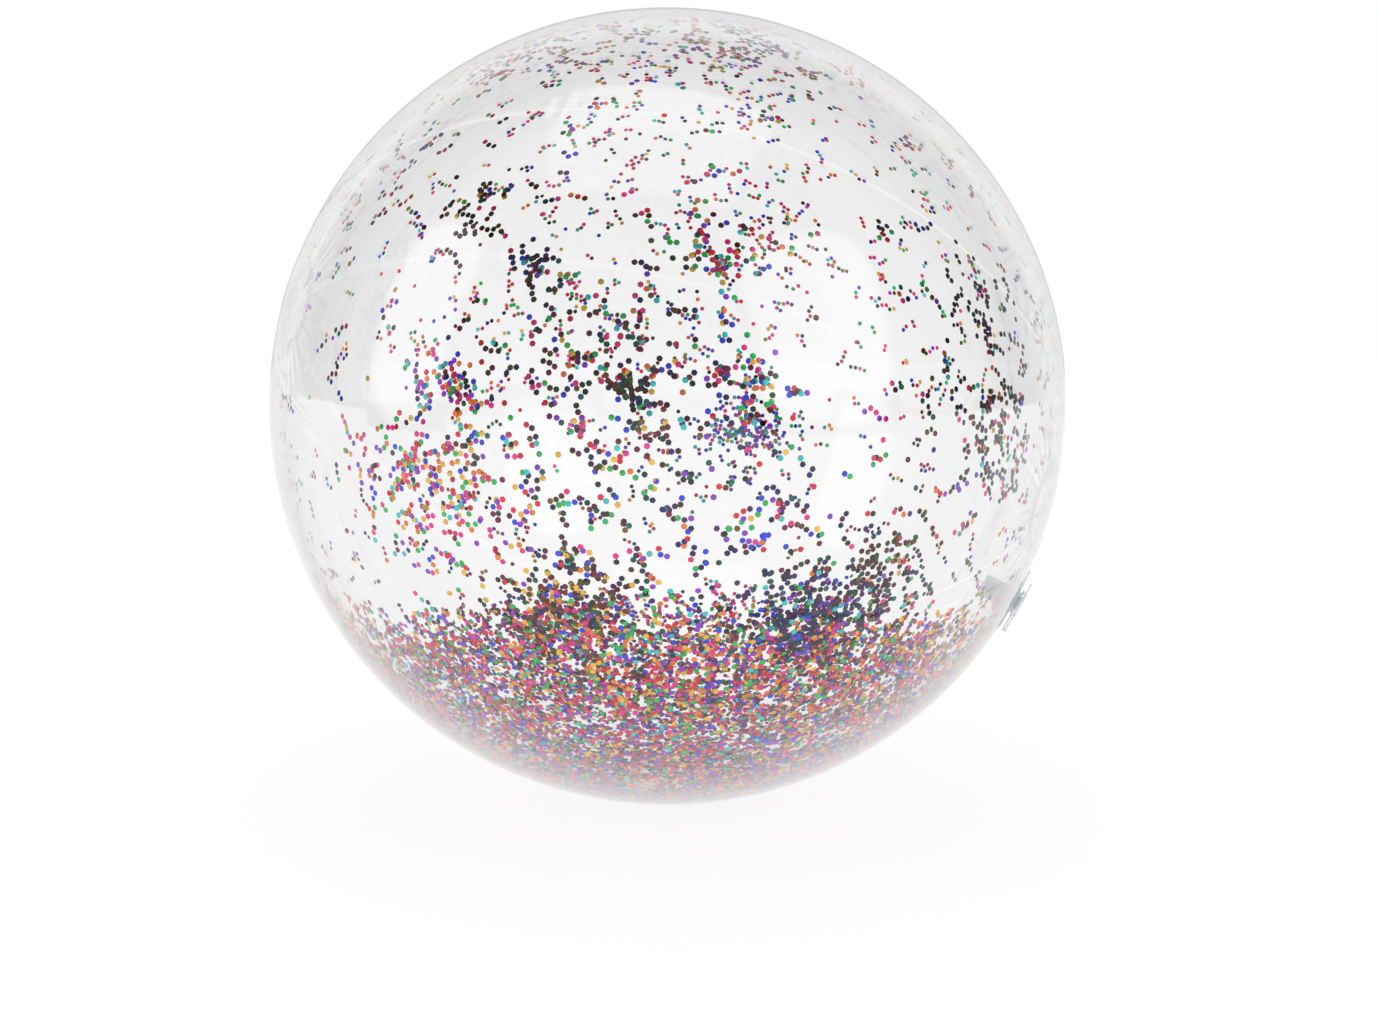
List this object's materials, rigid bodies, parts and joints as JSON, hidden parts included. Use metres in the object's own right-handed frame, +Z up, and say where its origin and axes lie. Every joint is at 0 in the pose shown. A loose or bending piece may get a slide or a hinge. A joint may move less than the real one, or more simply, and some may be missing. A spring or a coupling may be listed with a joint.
{
  "type": "inflatable beach ball",
  "caption": "Clear inflatable beach ball welded from gores, with a push-in valve and multicoloured confetti inside.",
  "frame": {"origin": "middle of the flat patch that the ball rests on", "axes": "+Z up through the ball's centre, -Y the front; the gores' poles lie near X, the right-hand one 15 degrees below level"},
  "size_m": [0.4, 0.4, 0.399],
  "materials": {
    "clear_film": "clear glossy PVC film, calendered",
    "soft_vinyl": "clear soft PVC, moulded",
    "foil_magenta": "metallised polyester foil, cut",
    "foil_red": "metallised polyester foil, cut",
    "foil_orange": "metallised polyester foil, cut",
    "foil_gold": "metallised polyester foil, cut",
    "foil_green": "metallised polyester foil, cut",
    "foil_teal": "metallised polyester foil, cut",
    "foil_blue": "metallised polyester foil, cut",
    "foil_purple": "metallised polyester foil, cut",
    "foil_mixed": "mixed metallised polyester foil"
  },
  "bodies": {
    "envelope": {"gore_1": "clear_film", "gore_2": "clear_film", "gore_3": "clear_film", "gore_4": "clear_film", "gore_5": "clear_film", "gore_6": "clear_film", "end_disc_left": "clear_film", "end_disc_right": "clear_film", "valve_flange": "soft_vinyl", "valve_diaphragm": "soft_vinyl", "confetti_magenta": "foil_magenta", "confetti_red": "foil_red", "confetti_orange": "foil_orange", "confetti_gold": "foil_gold", "confetti_green": "foil_green", "confetti_teal": "foil_teal", "confetti_blue": "foil_blue", "confetti_purple": "foil_purple"},
    "valve_stem": {"valve_stem": "soft_vinyl", "strap_anchor": "soft_vinyl"},
    "valve_plug": {"valve_plug": "soft_vinyl", "plug_strap": "soft_vinyl"},
    "check_flap": {"check_flap": "soft_vinyl"},
    "loose_confetti": {"loose_confetti": "foil_mixed"}
  },
  "joints": [
    {"name": "stem_slide", "type": "slide", "parent": "envelope", "child": "valve_stem", "axis": [0.8504, -0.237, -0.4697], "range_m": [0, 0.016], "deforming": ["valve_diaphragm"]},
    {"name": "plug_swing", "type": "hinge", "parent": "valve_stem", "child": "valve_plug", "pos_m": [0.16478, -0.04592, 0.09099], "axis": [0.2684, 0.9633, 0], "range_deg": [0, 150]},
    {"name": "flap_swing", "type": "hinge", "parent": "valve_stem", "child": "check_flap", "pos_m": [0.15729, -0.04383, 0.11755], "axis": [0.2684, 0.9633, 0], "range_deg": [0, 75]},
    {"name": "confetti_roll", "type": "hinge", "parent": "envelope", "child": "loose_confetti", "pos_m": [0, 0, 0.199], "axis": [1, 0, 0], "continuous": true}
  ]
}
